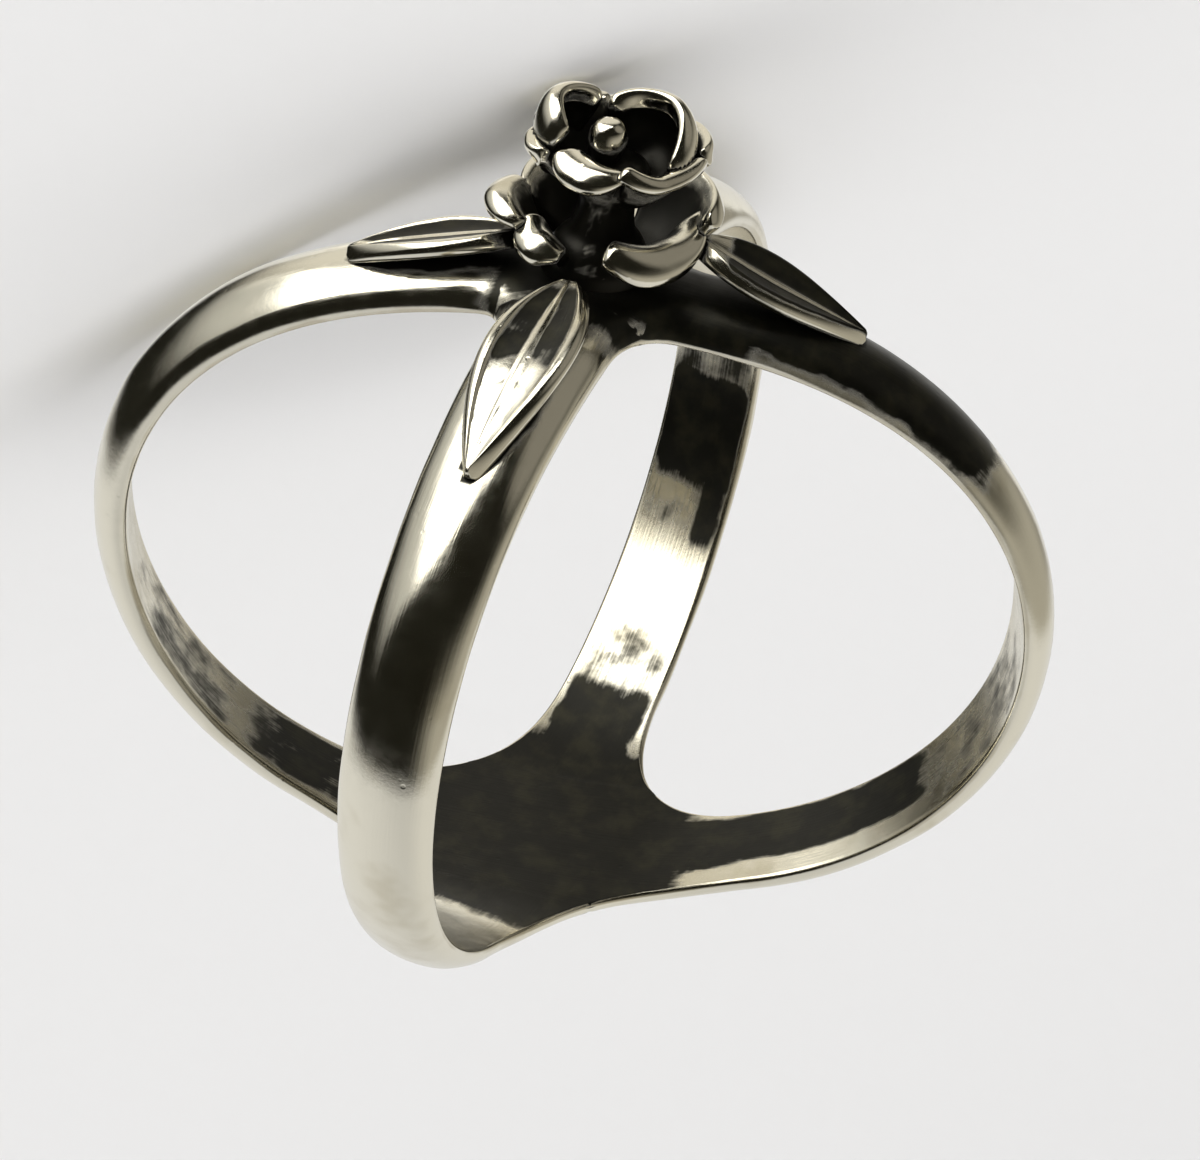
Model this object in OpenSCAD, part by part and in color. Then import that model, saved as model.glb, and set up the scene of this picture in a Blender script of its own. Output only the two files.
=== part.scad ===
// Crossover ring: two silver loops that cross over and under the finger,
// with a two-tier rose and three leaves soldered on the upper crossing.
// It is shaped upright, with X across the finger, Y along it and Z up through the rose,
// and then laid on its side the way it rests on a table. Sizes are in millimetres and degrees.

/* [Loops] */
// Height of the finger hole between the two crossings
hole_h = 17.5; // [15:0.25:21]
// Angle of each loop to the X axis, seen from above
loop_angle = 39.2; // [36:0.2:44]
// Swell of a loop at its sides, as a share of its radius
side_swell = 0.375; // [0.3:0.005:0.42]
// How much of the swell moves up towards the rose
upper_swell = 0.068; // [0:0.002:0.09]
// Flattening of the shoulders between the crossings and the sides
shoulder_flat = 0.011; // [0:0.001:0.02]
// Flattening of the upper shoulders alone
upper_flat = 0.02; // [0:0.002:0.03]
// Twist of an arm's band about its own line at the sides
band_twist = 11; // [0:0.5:14]

/* [Band] */
// Width of the band at the sides
band_w = 2.79; // [2.4:0.05:3.2]
// Extra width at the upper crossing
upper_extra_w = 0.42; // [0:0.02:0.6]
// Extra width at the lower crossing
lower_extra_w = 0.19; // [0:0.02:0.4]
// Thickness of the band at the sides
band_t = 0.93; // [0.8:0.02:1.2]
// Extra thickness at the upper crossing
upper_extra_t = 0.12; // [0:0.02:0.2]
// Thickness worn away at the lower crossing
lower_worn_t = 0.18; // [0:0.02:0.24]
// Height of the straight edge, as a share of the thickness
edge_share = 0.19; // [0.16:0.01:0.3]
// Width of the bevel round the inner face
bevel = 0.12; // [0.06:0.01:0.14]
// Distance from the middle at which the upper crossing's fillets end
upper_reach = 2.8; // [2.4:0.1:4]
// Distance from the middle at which the lower crossing's fillets end
lower_reach = 6.2; // [4:0.1:7]

/* [Rose] */
// Thickness of a petal
petal_t = 0.46; // [0.35:0.01:0.5]
// Sideways lean of the rose for each millimetre of its height
rose_lean = 0.09; // [0:0.01:0.15]

/* [Leaves] */
// Thickness of a leaf
leaf_t = 0.45; // [0.4:0.01:0.6]
// Rise of a leaf's edges above its midrib, as a share of its half width
leaf_dish = 0.26; // [0.1:0.02:0.4]
// Radius of the midrib
rib_r = 0.16; // [0.12:0.01:0.2]

/* [Rest] */
// Lean of the finger's axis from the vertical as the ring lies on its side
rest_tilt = 35.7; // [0:0.1:40]
// Turn about the rose's axis that levels the two arms it lies on
rest_turn = -1.7; // [-5:0.1:5]

/* [Hidden] */
silver = "silver";
tarnished = "darkgray";

// Arms in turn: loop (1 or -1), side of the finger (1 or -1), extra width
arms = [
    [-1,  1,  0.08], // right
    [ 1,  1, -0.05], // back
    [-1, -1,  0.04], // left
    [ 1, -1, -0.06], // front
];
// Uneven swell towards one side, for loop 1 and for loop -1
uneven = [0.063, 0.029];

// Columns across the band, as shares of its half width, between the two bevel lines
inner_columns = [-0.72, -0.36, 0, 0.36, 0.72];
column_count = len(inner_columns) + 4;
section_count = 2*column_count;
zone_rows = 6;
free_rows = 19;
patch_turn = 15;
hole_r = hole_h/2;
seat_z = hole_r + band_t + upper_extra_t;

// Petals in turn: bearing of the middle, half spread, place of the petal's own axis, radius and height of base,
// belly, neck and rim, then for both ends the rim's radius as a share, how much higher the rim stands and how much
// higher the crest inside it stands. Heights are from the seat, and the first five are the lower tier.
petals = [
    // lower left, front left, front right, right and back
    [148, 24, [0, 0], [0.5, 0.1], [2.2, 0.2], [2.25, 2.4], [3.0, 1.3], [0.93, 0.88], [-0.2, -0.4], [0, 0]],
    [183, 22, [0, 0], [0.5, 0.1], [1.6, 0.1], [1.5, 1.95], [2.4, 0.7], [1, 0.95], [0.2, -0.35], [0, 0]],
    [-72, 49, [0, 0], [0.5, 0.1], [1.5, 0.1], [1.65, 2.2], [2.5, 0.55], [0.97, 1.2], [0, 0.55], [0.35, -0.7]],
    [ -2, 42, [0, 0], [0.5, 0.1], [2.4, 0.2], [2.5, 1.7], [2.95, 1.9], [1, 1], [0, 0], [0, 0]],
    [77, 54, [0, 0], [0.5, 0.1], [2.2, 0.2], [2.4, 1.9], [3.0, 1.5], [1, 0.8], [0, -0.35], [0, 0]],
    // upper front, front right, right, back right, back and left
    [-164, 33, [0.25, -0.3], [0.5, 2.1], [0.9, 2.3], [1.1, 3.95], [1.98, 2.8], [1.26, 0.78], [0.1, -0.15], [0, 0]],
    [-77, 42, [0, 0], [0.4, 2.1], [1.5, 2.0], [1.5, 3.5], [1.85, 2.85], [0.85, 1.36], [0.15, 0.2], [0.5, 0]],
    [-12, 24, [0, 0], [0.4, 2.1], [1.7, 2.2], [2.0, 3.4], [2.45, 3.35], [1, 1], [0, 0], [0, 0]],
    [39, 34, [0, 0], [0.4, 2.2], [1.7, 2.3], [1.9, 3.8], [2.4, 3.2], [1, 1], [0.1, -0.1], [0, 0]],
    [99.5, 35, [0, 0], [0.4, 2.2], [1.7, 2.3], [1.9, 3.8], [2.4, 3.2], [1, 1], [0.1, -0.1], [0, 0]],
    [151, 20, [0, 0], [0.4, 2.2], [1.6, 2.3], [1.8, 3.5], [2.3, 3.1], [1, 1], [0, 0], [0, 0]],
    // hood over the bud, and the petal facing it
    [121, 88, [-0.68, 0.75], [0.3, 2.4], [1.3, 2.5], [1.22, 4.45], [0.6, 4.25], [1, 0.82], [-0.2, -0.45], [0, 0]],
    [ 19, 98, [0.55, -0.25], [0.3, 2.4], [1.5, 2.5], [1.35, 4.3], [0.75, 4.25], [1, 1], [-1, 0], [0, 0]],
];
petal_droop = 0.16;
petal_steps = [0, 0.26, 0.5, 0.72, 0.88, 1];
petal_columns = 6;
// Core between the petals, by radius and height, and the bud on it by its place, radius and height
core = [[1.3, -0.35], [1.39, 0.12], [1.08, 0.74], [0.83, 1.08], [0.73, 1.82], [0.96, 2.3], [0.96, 2.64], [0.49, 3.03]];
bud = [-0.34, 0.05, 0.5, 3.61];

// Leaves in turn: arm, turn from the top at base and tip, half width, centre across the band, roll, lift of the base
leaves = [
    [3, 12, 47.5, 1.22, -0.1,  -6, 0.35], // front
    [2, 12, 37.5, 1.08, -0.1, -10, 0.35], // left
    [0, 15, 41.3, 1.08,  0.2,   2, 0.95], // right
];
leaf_rows = 9;
leaf_columns = 4;
leaf_sink = 0.12;
leaf_peak = 0.84;
blunt = 0.02;
rib_steps = 4;

function mix(a, b, t) = a*(1 - t) + b*t;
function smooth(t) = t*t*(3 - 2*t);
function at_least(a, b) = a > b ? a : b;

// Loop shape: its radius at a turn from the top, and its point in its own upright plane
function loop_r(loop, turn) =
    let (s = sin(turn), c = cos(turn), d = sin(2*turn))
    hole_r*(1 + side_swell*s*s - shoulder_flat*d*d + upper_swell*c*s*s - upper_flat*c*d*d
        + uneven[loop > 0 ? 0 : 1]*s*s*s);
function loop_point(loop, turn) = loop_r(loop, turn)*[sin(turn), cos(turn)];
function along(loop) = [cos(loop*loop_angle), sin(loop*loop_angle), 0];
function across(loop) = [-sin(loop*loop_angle), cos(loop*loop_angle), 0];
function band_width(turn, extra) =
    band_w + extra*pow(sin(turn), 2)
    + upper_extra_w*pow(at_least(cos(turn), 0), 3) + lower_extra_w*pow(at_least(-cos(turn), 0), 3);
function band_thick(turn) =
    band_t + upper_extra_t*pow(at_least(cos(turn), 0), 3) - lower_worn_t*pow(at_least(-cos(turn), 0), 3);

// Point on a loop at a signed turn, a distance across its band and a height above its inner face
function band_point(loop, turn, s, h) =
    let (step = 0.01, a = loop_point(loop, turn), d = loop_point(loop, turn + step) - a, n = d/norm(d),
        out = -n[1]*along(loop) + [0, 0, n[0]],
        side = sin(turn) < 0 ? -1 : 1, twist = -loop*band_twist*pow(sin(turn), 2))
    a[0]*along(loop) + [0, 0, a[1]]
    + h*(cos(twist)*out + side*sin(twist)*across(loop))
    + s*(cos(twist)*across(loop) - side*sin(twist)*out);

// Turn at which a loop is a given distance from the Z axis, near the upper or the lower crossing
function turn_for(loop, side, reach, low, guess = 0, steps = 7) =
    steps == 0 ? side*(low ? 180 - guess : guess)
    : turn_for(loop, side, reach, low,
        asin(reach/loop_r(loop, side*(low ? 180 - guess : guess))), steps - 1);
function sheet_point(loop, p, h, low) =
    let (reach = p*along(loop), s = p*across(loop), side = reach < 0 ? -1 : 1)
    band_point(loop, turn_for(loop, side, abs(reach), low), s, h);

// Crossings: the fillet in plan between an arm's edge (1 far, -1 near) and its neighbour's
function half_w(low) = (band_w + (low ? lower_extra_w : upper_extra_w))/2;
function reach_of(low) = low ? lower_reach : upper_reach;
function fillet_point(arm, edge, t, low) =
    let (loop = arm[0], side = arm[1], wide = edge*loop*side < 0, a = side*along(loop),
        corner = wide ? [sign(a[0])*half_w(low)/sin(loop_angle), 0, 0]
            : [0, sign(a[1])*half_w(low)/cos(loop_angle), 0],
        run = reach_of(low) - abs(corner*a),
        other = wide ? [a[0], -a[1], 0] : [-a[0], a[1], 0], b = (1 - t)/2)
    corner + (1 - b)*(1 - b)*run*a + b*b*run*other;
function corner_point(arm, edge, low) = fillet_point(arms[arm], edge, 0, low);
function columns(w) = concat([-1, -1 + 2*bevel/w], inner_columns, [1 - 2*bevel/w, 1]);
function crown(c) = sqrt(at_least(1 - c*c, 0));
function is_edge(i) = i == 0 || i == column_count - 1;
function inner_h(i) = is_edge(i) ? bevel : 0;
function outer_h(thick, lift) = thick*mix(edge_share, 1, lift);

// Patch in the middle of a crossing, between its four corners
function patch_plan(u, v, low) =
    let (near = corner_point(0, -1, low), right = corner_point(0, 1, low),
        far = corner_point(2, 1, low), left = corner_point(2, -1, low))
    mix(mix(near, right, u), mix(left, far, u), v);
function patch_width(low) = norm(corner_point(0, 1, low) - corner_point(0, -1, low));
function patch_thick(low) = band_thick(low ? 180 - patch_turn : patch_turn);
function patch_lift(a, b) = pow(pow(crown(a), 4) + pow(crown(b), 4), 0.25)*(1 - 0.16*pow(crown(a)*crown(b), 4));
function patch_point(i, j, outer, low) =
    let (list = columns(patch_width(low)), a = list[i], b = list[j],
        p = patch_plan((1 + a)/2, (1 + b)/2, low),
        h = outer ? outer_h(patch_thick(low), patch_lift(a, b)) : is_edge(i) && is_edge(j) ? bevel : 0)
    (sheet_point(1, p, h, low) + sheet_point(-1, p, h, low))/2;
function patch_side(arm, i, outer, low) =
    arm == 0 ? patch_point(i, 0, outer, low)
    : arm == 1 ? patch_point(column_count - 1, i, outer, low)
    : arm == 2 ? patch_point(i, column_count - 1, outer, low)
    : patch_point(0, i, outer, low);

// Rows of an arm: from the upper patch through its fillets, along the free band and down to the lower patch
function zone_point(arm, t, i, outer, low) =
    let (row = arms[arm], loop = row[0], side = row[1], turn = turn_for(loop, side, reach_of(low), low),
        shrink = mix(1, band_width(turn, row[2])/(2*half_w(low)), t*t),
        near = fillet_point(row, -1, t, low), far = fillet_point(row, 1, t, low),
        c = columns(norm(far - near))[i], p = mix(near, far, (1 + c)/2),
        reach = p*along(loop), s = (p*across(loop))*shrink,
        q = reach*along(loop) + s*across(loop),
        thick = mix(patch_thick(low), band_thick(turn), smooth(t)),
        h = outer ? outer_h(thick, crown(c)) : inner_h(i), own = mix(0.5, 1, smooth(t)))
    mix(sheet_point(-loop, q, h, low), sheet_point(loop, q, h, low), own);
function free_point(arm, t, i, outer) =
    let (row = arms[arm], loop = row[0], side = row[1],
        turn = mix(turn_for(loop, side, upper_reach, false), turn_for(loop, side, lower_reach, true), t),
        w = band_width(turn, row[2]), c = columns(w)[i],
        h = outer ? outer_h(band_thick(turn), crown(c)) : inner_h(i))
    band_point(loop, turn, c*w/2, h);
function arm_point(arm, j, i, outer) =
    j == 0 ? patch_side(arm, i, outer, false)
    : j == last_row ? patch_side(arm, i, outer, true)
    : j < zone_rows ? zone_point(arm, j/zone_rows, i, outer, false)
    : j > last_row - zone_rows ? zone_point(arm, (last_row - j)/zone_rows, i, outer, true)
    : free_point(arm, (j - zone_rows)/free_rows, i, outer);
last_row = 2*zone_rows + free_rows;
arm_size = (last_row + 1)*section_count;
patch_size = column_count*column_count;
function arm_section(arm, j) = concat(
    [for (i = [0:column_count - 1]) arm_point(arm, j, i, true)],
    [for (i = [column_count - 1:-1:0]) arm_point(arm, j, i, false)]);
function flat_list(list) = [for (part = list) each part];
shank_points = flat_list(concat(
    [for (arm = [0:3], j = [0:last_row]) arm_section(arm, j)],
    [for (low = [false, true], outer = [true, false])
        [for (j = [0:column_count - 1], i = [0:column_count - 1]) patch_point(i, j, outer, low)]]));

// Two triangles for each cell of a grid whose rows start at "base" and are "wide" points long
function cell(a, b, c, d, flip) = flip ? [[a, b, c], [a, c, d]] : [[a, c, b], [a, d, c]];
function grid_faces(base, rows, wide, closed, flip) = flat_list(
    [for (j = [0:rows - 2], i = [0:wide - (closed ? 1 : 2)])
        let (k = (i + 1)%wide, a = base + j*wide, b = a + wide)
        cell(a + i, a + k, b + k, b + i, flip)]);
shank_faces = flat_list(concat(
    [for (arm = [0:3]) grid_faces(arm*arm_size, last_row + 1, section_count, true, arms[arm][1] > 0)],
    [for (k = [0:3]) grid_faces(4*arm_size + k*patch_size, column_count, column_count, false, k == 1 || k == 2)]));

// Closed plate from two grids of points, its upper and its lower face, turned over where rows run the other way
function plate_faces(rows, wide, flip) =
    let (n = rows*wide, rim = concat(
        [for (i = [0:wide - 1]) i],
        [for (j = [1:rows - 1]) j*wide + wide - 1],
        [for (i = [wide - 2:-1:0]) (rows - 1)*wide + i],
        [for (j = [rows - 2:-1:1]) j*wide]))
    concat(grid_faces(0, rows, wide, false, flip), grid_faces(n, rows, wide, false, !flip),
        flat_list([for (k = [0:len(rim) - 1])
            let (a = rim[k], b = rim[(k + 1)%len(rim)]) cell(a, b, b + n, a + n, !flip)]));
module plate(upper, lower, flip) {
    polyhedron(flat_list(concat(upper, lower)), plate_faces(len(upper), len(upper[0]), flip));
}

// Rose: each petal bends along a curve of four points from its base to its rolled rim
function bend(a, b, c, d, t) =
    pow(1 - t, 3)*a + 3*t*pow(1 - t, 2)*b + 3*t*t*(1 - t)*c + pow(t, 3)*d;
// A petal's edge is half as thick as its middle
function petal_point(p, u, v, side) =
    let (reach = v*(1 - petal_droop*pow(abs(u), 3)), step = 0.01,
        a = bend(p[3], p[4], p[5], p[6], reach),
        d = bend(p[3], p[4], p[5], p[6], reach + step) - a, n = [-d[1], d[0]]/norm(d),
        half_t = side*petal_t/2*(v == 1 || abs(u) == 1 ? 0.5 : 1),
        end = u < 0 ? 0 : 1, k = v*pow(abs(u), 1.5),
        r = (a[0] + half_t*n[0])*(1 + (p[7][end] - 1)*k),
        h = a[1] + half_t*n[1] + (p[8][end] + 4*(1 - v)*p[9][end])*k,
        bearing = p[0] + u*p[1]*mix(0.6, 1, smooth(v)))
    [p[2][0] + r*cos(bearing) + rose_lean*h, p[2][1] + r*sin(bearing), seat_z + h];
function petal_grid(p, side) =
    [for (v = petal_steps) [for (i = [0:petal_columns]) petal_point(p, 2*i/petal_columns - 1, v, side)]];

// Leaves: pointed ovals laid along an arm, dished between raised edges
// A leaf's ends stay a little blunt, and its base lifts towards the rose
function leaf_half(l, t) = l[3]*pow(sin(180*pow(mix(blunt, 1 - blunt, t), leaf_peak)), 0.85);
function leaf_point(l, t, u, lower) =
    let (row = arms[l[0]], turn = mix(l[1], l[2], t), half = leaf_half(l, t),
        h = band_thick(turn) - leaf_sink + leaf_t*(lower ? 0 : 1) + leaf_dish*half*u*u
            + u*half*sin(l[5]) + l[6]*(1 - t)*(1 - t))
    band_point(row[0], row[1]*turn, l[4] + u*half*cos(l[5]), h);
function leaf_grid(l, lower) =
    [for (j = [0:leaf_rows]) [for (i = [0:leaf_columns]) leaf_point(l, j/leaf_rows, 2*i/leaf_columns - 1, lower)]];

// Resting place: the lowest point touches the table and the box is centred over the origin
function laid(p) =
    let (a = rest_turn, t = 90 + rest_tilt, x = p[0]*cos(a) - p[1]*sin(a), y = p[0]*sin(a) + p[1]*cos(a))
    [x, y*cos(t) + p[2]*sin(t), -y*sin(t) + p[2]*cos(t)];
outline = [for (p = concat(shank_points,
    flat_list([for (p = petals) flat_list(concat(petal_grid(p, 1), petal_grid(p, -1)))]),
    flat_list([for (l = leaves) flat_list(concat(leaf_grid(l, false), leaf_grid(l, true)))]))) laid(p)];
function ends(axis) = let (list = [for (p = outline) p[axis]]) [min(list), max(list)];
rest_shift = [-(ends(0)[0] + ends(0)[1])/2, -(ends(1)[0] + ends(1)[1])/2, -ends(2)[0]];

module shank() {
    color(silver) polyhedron(shank_points, shank_faces);
}
module rose() {
    color(silver) for (p = petals) plate(petal_grid(p, 1), petal_grid(p, -1), true);
    color(tarnished) translate([0, 0, seat_z]) {
        for (k = [0:len(core) - 2]) hull() for (c = [core[k], core[k + 1]])
            translate([rose_lean*c[1], 0, c[1]]) cylinder(h = 0.02, r = c[0], $fn = 12);
        hull() {
            translate([bud[0] + rose_lean*bud[3], bud[1], bud[3]]) sphere(r = bud[2], $fn = 10);
            translate([bud[0] + rose_lean*2.8, bud[1], 2.8]) cylinder(h = 0.1, r = 0.3, $fn = 10);
        }
    }
}
module leaf(l) {
    color(silver) plate(leaf_grid(l, false), leaf_grid(l, true), arms[l[0]][1] > 0);
    for (k = [0:rib_steps - 1])
        color(silver) hull() for (t = [k, k + 1]) translate(rib_at(l, 0.04 + 0.9*t/rib_steps)) sphere(r = rib_r, $fn = 8);
}
function rib_at(l, t) = leaf_point(l, t, 0, false);
module ring() {
    translate(rest_shift) rotate([-(90 + rest_tilt), 0, 0]) rotate([0, 0, rest_turn]) union() {
        shank();
        rose();
        for (l = leaves) leaf(l);
    }
}
ring();
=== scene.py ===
# Crossover ring in sterling silver: two loops that cross over and under the finger,
# with a two-tier rose and three leaves soldered on the upper crossing.
import math
import bmesh
import bpy
import numpy as np
from mathutils import Matrix, Vector
from mathutils.bvhtree import BVHTree


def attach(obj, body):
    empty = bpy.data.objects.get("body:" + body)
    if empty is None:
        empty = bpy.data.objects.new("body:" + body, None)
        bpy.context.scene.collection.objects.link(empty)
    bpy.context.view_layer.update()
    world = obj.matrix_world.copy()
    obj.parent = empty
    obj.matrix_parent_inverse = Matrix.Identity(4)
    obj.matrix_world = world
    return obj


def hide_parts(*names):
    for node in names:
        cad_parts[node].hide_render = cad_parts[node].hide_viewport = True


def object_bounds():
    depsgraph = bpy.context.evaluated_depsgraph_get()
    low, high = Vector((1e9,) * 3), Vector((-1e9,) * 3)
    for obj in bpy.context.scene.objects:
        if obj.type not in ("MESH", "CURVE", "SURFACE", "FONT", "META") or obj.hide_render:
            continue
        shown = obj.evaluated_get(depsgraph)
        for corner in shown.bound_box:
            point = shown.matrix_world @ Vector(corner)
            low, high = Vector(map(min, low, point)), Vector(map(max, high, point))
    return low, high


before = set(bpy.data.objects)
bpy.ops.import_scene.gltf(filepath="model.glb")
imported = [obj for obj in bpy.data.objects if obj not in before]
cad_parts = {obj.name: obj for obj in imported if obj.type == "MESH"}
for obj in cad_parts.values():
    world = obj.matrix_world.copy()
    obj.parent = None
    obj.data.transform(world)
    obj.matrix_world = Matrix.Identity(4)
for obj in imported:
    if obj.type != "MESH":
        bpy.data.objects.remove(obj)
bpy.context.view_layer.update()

mm = 0.001
weldGap = 2e-7  # points nearer than this, in metres, become one

# The ring is shaped upright in millimetres, as in the CAD, and then laid on its side.
lay = {"tilt": 35.7, "turn": -1.7, "shift": (-0.4365, -1.0177, 9.6739)}
laidMatrix = (Matrix.Translation(Vector(lay["shift"])*mm)
              @ Matrix.Rotation(math.radians(-90 - lay["tilt"]), 4, "X")
              @ Matrix.Rotation(math.radians(lay["turn"]), 4, "Z"))
laidTurn = np.array(laidMatrix.to_3x3())


def laid(points):
    # From upright millimetres to laid metres
    return (np.asarray(points, float)*mm) @ laidTurn.T + np.array(laidMatrix.translation)


def linear(code):
    # sRGB hex to linear colour
    parts = [int(code[i:i + 2], 16)/255 for i in (1, 3, 5)]
    return tuple(c/12.92 if c <= 0.04045 else ((c + 0.055)/1.055)**2.4 for c in parts) + (1.0,)


def addNode(tree, kind, inputs=None, **settings):
    # Inputs by name or number: a value, a socket, or a node whose first live output is used
    node = tree.nodes.new(kind)
    for name, value in settings.items():
        setattr(node, name, value)
    for name, value in (inputs or {}).items():
        if isinstance(value, bpy.types.Node):
            value = next(socket for socket in value.outputs if socket.enabled)
        if isinstance(value, bpy.types.NodeSocket):
            tree.links.new(value, node.inputs[name])
        else:
            node.inputs[name].default_value = value
    return node


def calc(tree, operation, *values):
    return addNode(tree, "ShaderNodeMath", dict(enumerate(values)), operation=operation)


def ramp(tree, value, start, end, low=0.0, high=1.0):
    # Soft step from low where the value is at start to high where it is at end
    return addNode(tree, "ShaderNodeMapRange", {0: value, 1: start, 2: end, 3: low, 4: high},
                   interpolation_type="SMOOTHSTEP")


def named(tree, *names):
    return [addNode(tree, "GeometryNodeInputNamedAttribute", {"Name": name}, data_type="FLOAT").outputs[0]
            for name in names]


def mix(a, b, t):
    return a*(1 - t) + b*t


def smooth(t):
    t = np.clip(t, 0, 1)
    return t*t*(3 - 2*t)


def meshPiece(name, points, faces, attributes=None):
    mesh = bpy.data.meshes.new(name)
    mesh.from_pydata([tuple(p) for p in points], [], [tuple(f) for f in faces])
    for key, values in (attributes or {}).items():
        mesh.attributes.new(key, "FLOAT", "POINT").data.foreach_set("value", np.asarray(values, np.float32))
    piece = bpy.data.objects.new(name, mesh)
    bpy.context.scene.collection.objects.link(piece)
    return piece


def gridFaces(base, rows, wide, closed=False):
    faces = []
    for j in range(rows - 1):
        for i in range(wide if closed else wide - 1):
            k = (i + 1) % wide
            a, b = base + j*wide, base + (j + 1)*wide
            faces.append((a + i, a + k, b + k, b + i))
    return faces


# Sizes of the patterns are in millimetres. "recess" runs from 0 in the open to 1 where no polishing cloth reaches,
# "tarnish" marks the dark patches, partly real patina and partly painted dark reflection, and "along" and "across"
# run with the band and with each leaf.
finish = {
    "polished": "#F3EFE1", "roughness": (0.10, 0.19), "innerRoughness": 0.07,
    "worn": "#2B291C", "wornEdge": (0.42, 0.72),  # where the patina has worn thin
    # Layers from the lowest up: tone, the mark that places it and what is added to that, the levels at which it
    # starts and is full, its depth and the roughness that it adds
    "layers": {
        "film": {"tone": "#B8AC8C", "mark": "cloud", "adds": {"inner": 0.16},
                 "edge": (0.5, 0.75), "depth": 0.4, "rough": 0},
        "patinaAndDarkReflection": {"tone": "#16150F", "mark": "tarnishAndDarkReflection", "adds": {"uneven": 0.9, "brush": 0.3},
                   "edge": (0.3, 0.7), "depth": 1, "rough": 0.2},
        "oxide": {"tone": "#181610", "mark": "recess", "adds": {"uneven": 0.3},
                  "edge": (0.29, 0.56), "depth": 1, "rough": 0.22},
    },
    "darkMetal": 0.6,  # patina and oxide mirror less than the bare silver
    "grain": {
        "grime": {"size": 0.9, "detail": 5, "rough": 0.55}, "cloud": {"size": 2.6, "detail": 3, "rough": 0.55},
        "scuff": {"size": 0.5, "detail": 4, "rough": 0.55}, "scratch": {"size": 0.11, "detail": 3, "rough": 0.7},
    },
    "brushSize": {"along": 1.5, "across": 0.07}, "pitSize": 0.7, "pitEdge": (0.04, 0.12),
    "bumpStrength": 0.35, "bumpDepth": 0.012,
    "bumpShares": {"pits": 0.7, "grime": 0.9, "scratch": 0.35, "brush": 0.9},
}


def agedSterling():
    # Sterling silver, cast, soldered and hand polished, oxidised where the cloth doesn't reach: bright worn
    # surfaces with soft scratches beside near-black hollows, and a thin yellowish film between them.
    material = bpy.data.materials.new("agedSterling")
    material.use_nodes = True
    tree = material.node_tree
    shader = tree.nodes["Principled BSDF"]
    place = addNode(tree, "ShaderNodeTexCoord").outputs["Object"]
    marks = {name: addNode(tree, "ShaderNodeAttribute", attribute_name=name).outputs["Fac"]
             for name in ("recess", "inner", "tarnishAndDarkReflection", "along", "across")}
    grain = {name: addNode(tree, "ShaderNodeTexNoise", {
        "Vector": place, "Scale": 1/(noise["size"]*mm), "Detail": noise["detail"], "Roughness": noise["rough"]})
        for name, noise in finish["grain"].items()}
    # Brush strokes follow the band
    strokes = [calc(tree, "MULTIPLY", marks[name], 1/size) for name, size in finish["brushSize"].items()]
    strokes = addNode(tree, "ShaderNodeCombineXYZ", {"X": strokes[0], "Y": strokes[1]})
    brush = addNode(tree, "ShaderNodeTexNoise", {"Vector": strokes, "Scale": 1.0, "Detail": 3.0})
    brush, uneven = (calc(tree, "SUBTRACT", noise.outputs["Fac"], 0.5) for noise in (brush, grain["grime"]))
    # A yellowish film in clouds, patina and painted dark reflection in the dark patches, mottled by wear, and oxide
    # in the recesses
    marks.update(cloud=grain["cloud"], uneven=uneven, brush=brush)
    worn = ramp(tree, grain["grime"], *finish["wornEdge"])
    low, high = finish["roughness"]
    rough = addNode(tree, "ShaderNodeMapRange", {0: grain["scuff"], 1: 0.3, 2: 0.7, 3: low, 4: high})
    rough = calc(tree, "MULTIPLY_ADD", marks["inner"], finish["innerRoughness"], rough)
    colour, covers = linear(finish["polished"]), {}
    for name, layer in finish["layers"].items():
        level = marks[layer["mark"]]
        for part, share in layer["adds"].items():
            level = calc(tree, "MULTIPLY_ADD", marks[part], share, level)
        cover, tone = ramp(tree, level, *layer["edge"], high=layer["depth"]), linear(layer["tone"])
        if name == "patinaAndDarkReflection":
            tone = addNode(tree, "ShaderNodeMix", {0: worn, 6: tone, 7: linear(finish["worn"])}, data_type="RGBA")
        colour = addNode(tree, "ShaderNodeMix", {0: cover, 6: colour, 7: tone}, data_type="RGBA")
        rough = calc(tree, "MULTIPLY_ADD", cover, layer["rough"], rough)
        covers[name] = cover
    tree.links.new(colour.outputs[2], shader.inputs["Base Color"])
    tree.links.new(rough.outputs[0], shader.inputs["Roughness"])
    dark = calc(tree, "MAXIMUM", covers["patinaAndDarkReflection"], covers["oxide"])
    metal = addNode(tree, "ShaderNodeMapRange", {0: dark, 3: 1.0, 4: finish["darkMetal"]})
    tree.links.new(metal.outputs[0], shader.inputs["Metallic"])
    # Fine scratches, brush strokes inside the band and a few pits
    shares = finish["bumpShares"]
    pits = addNode(tree, "ShaderNodeTexVoronoi", {"Vector": place, "Scale": 1/(finish["pitSize"]*mm)})
    height = ramp(tree, pits.outputs["Distance"], *finish["pitEdge"], high=shares["pits"])
    for name, pattern in (("grime", grain["grime"]), ("scratch", grain["scratch"]), ("brush", brush)):
        height = calc(tree, "MULTIPLY_ADD", pattern, shares[name], height)
    bump = addNode(tree, "ShaderNodeBump", {
        "Height": height, "Strength": finish["bumpStrength"], "Distance": finish["bumpDepth"]*mm})
    tree.links.new(bump.outputs["Normal"], shader.inputs["Normal"])
    return material


sterling = agedSterling()

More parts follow.
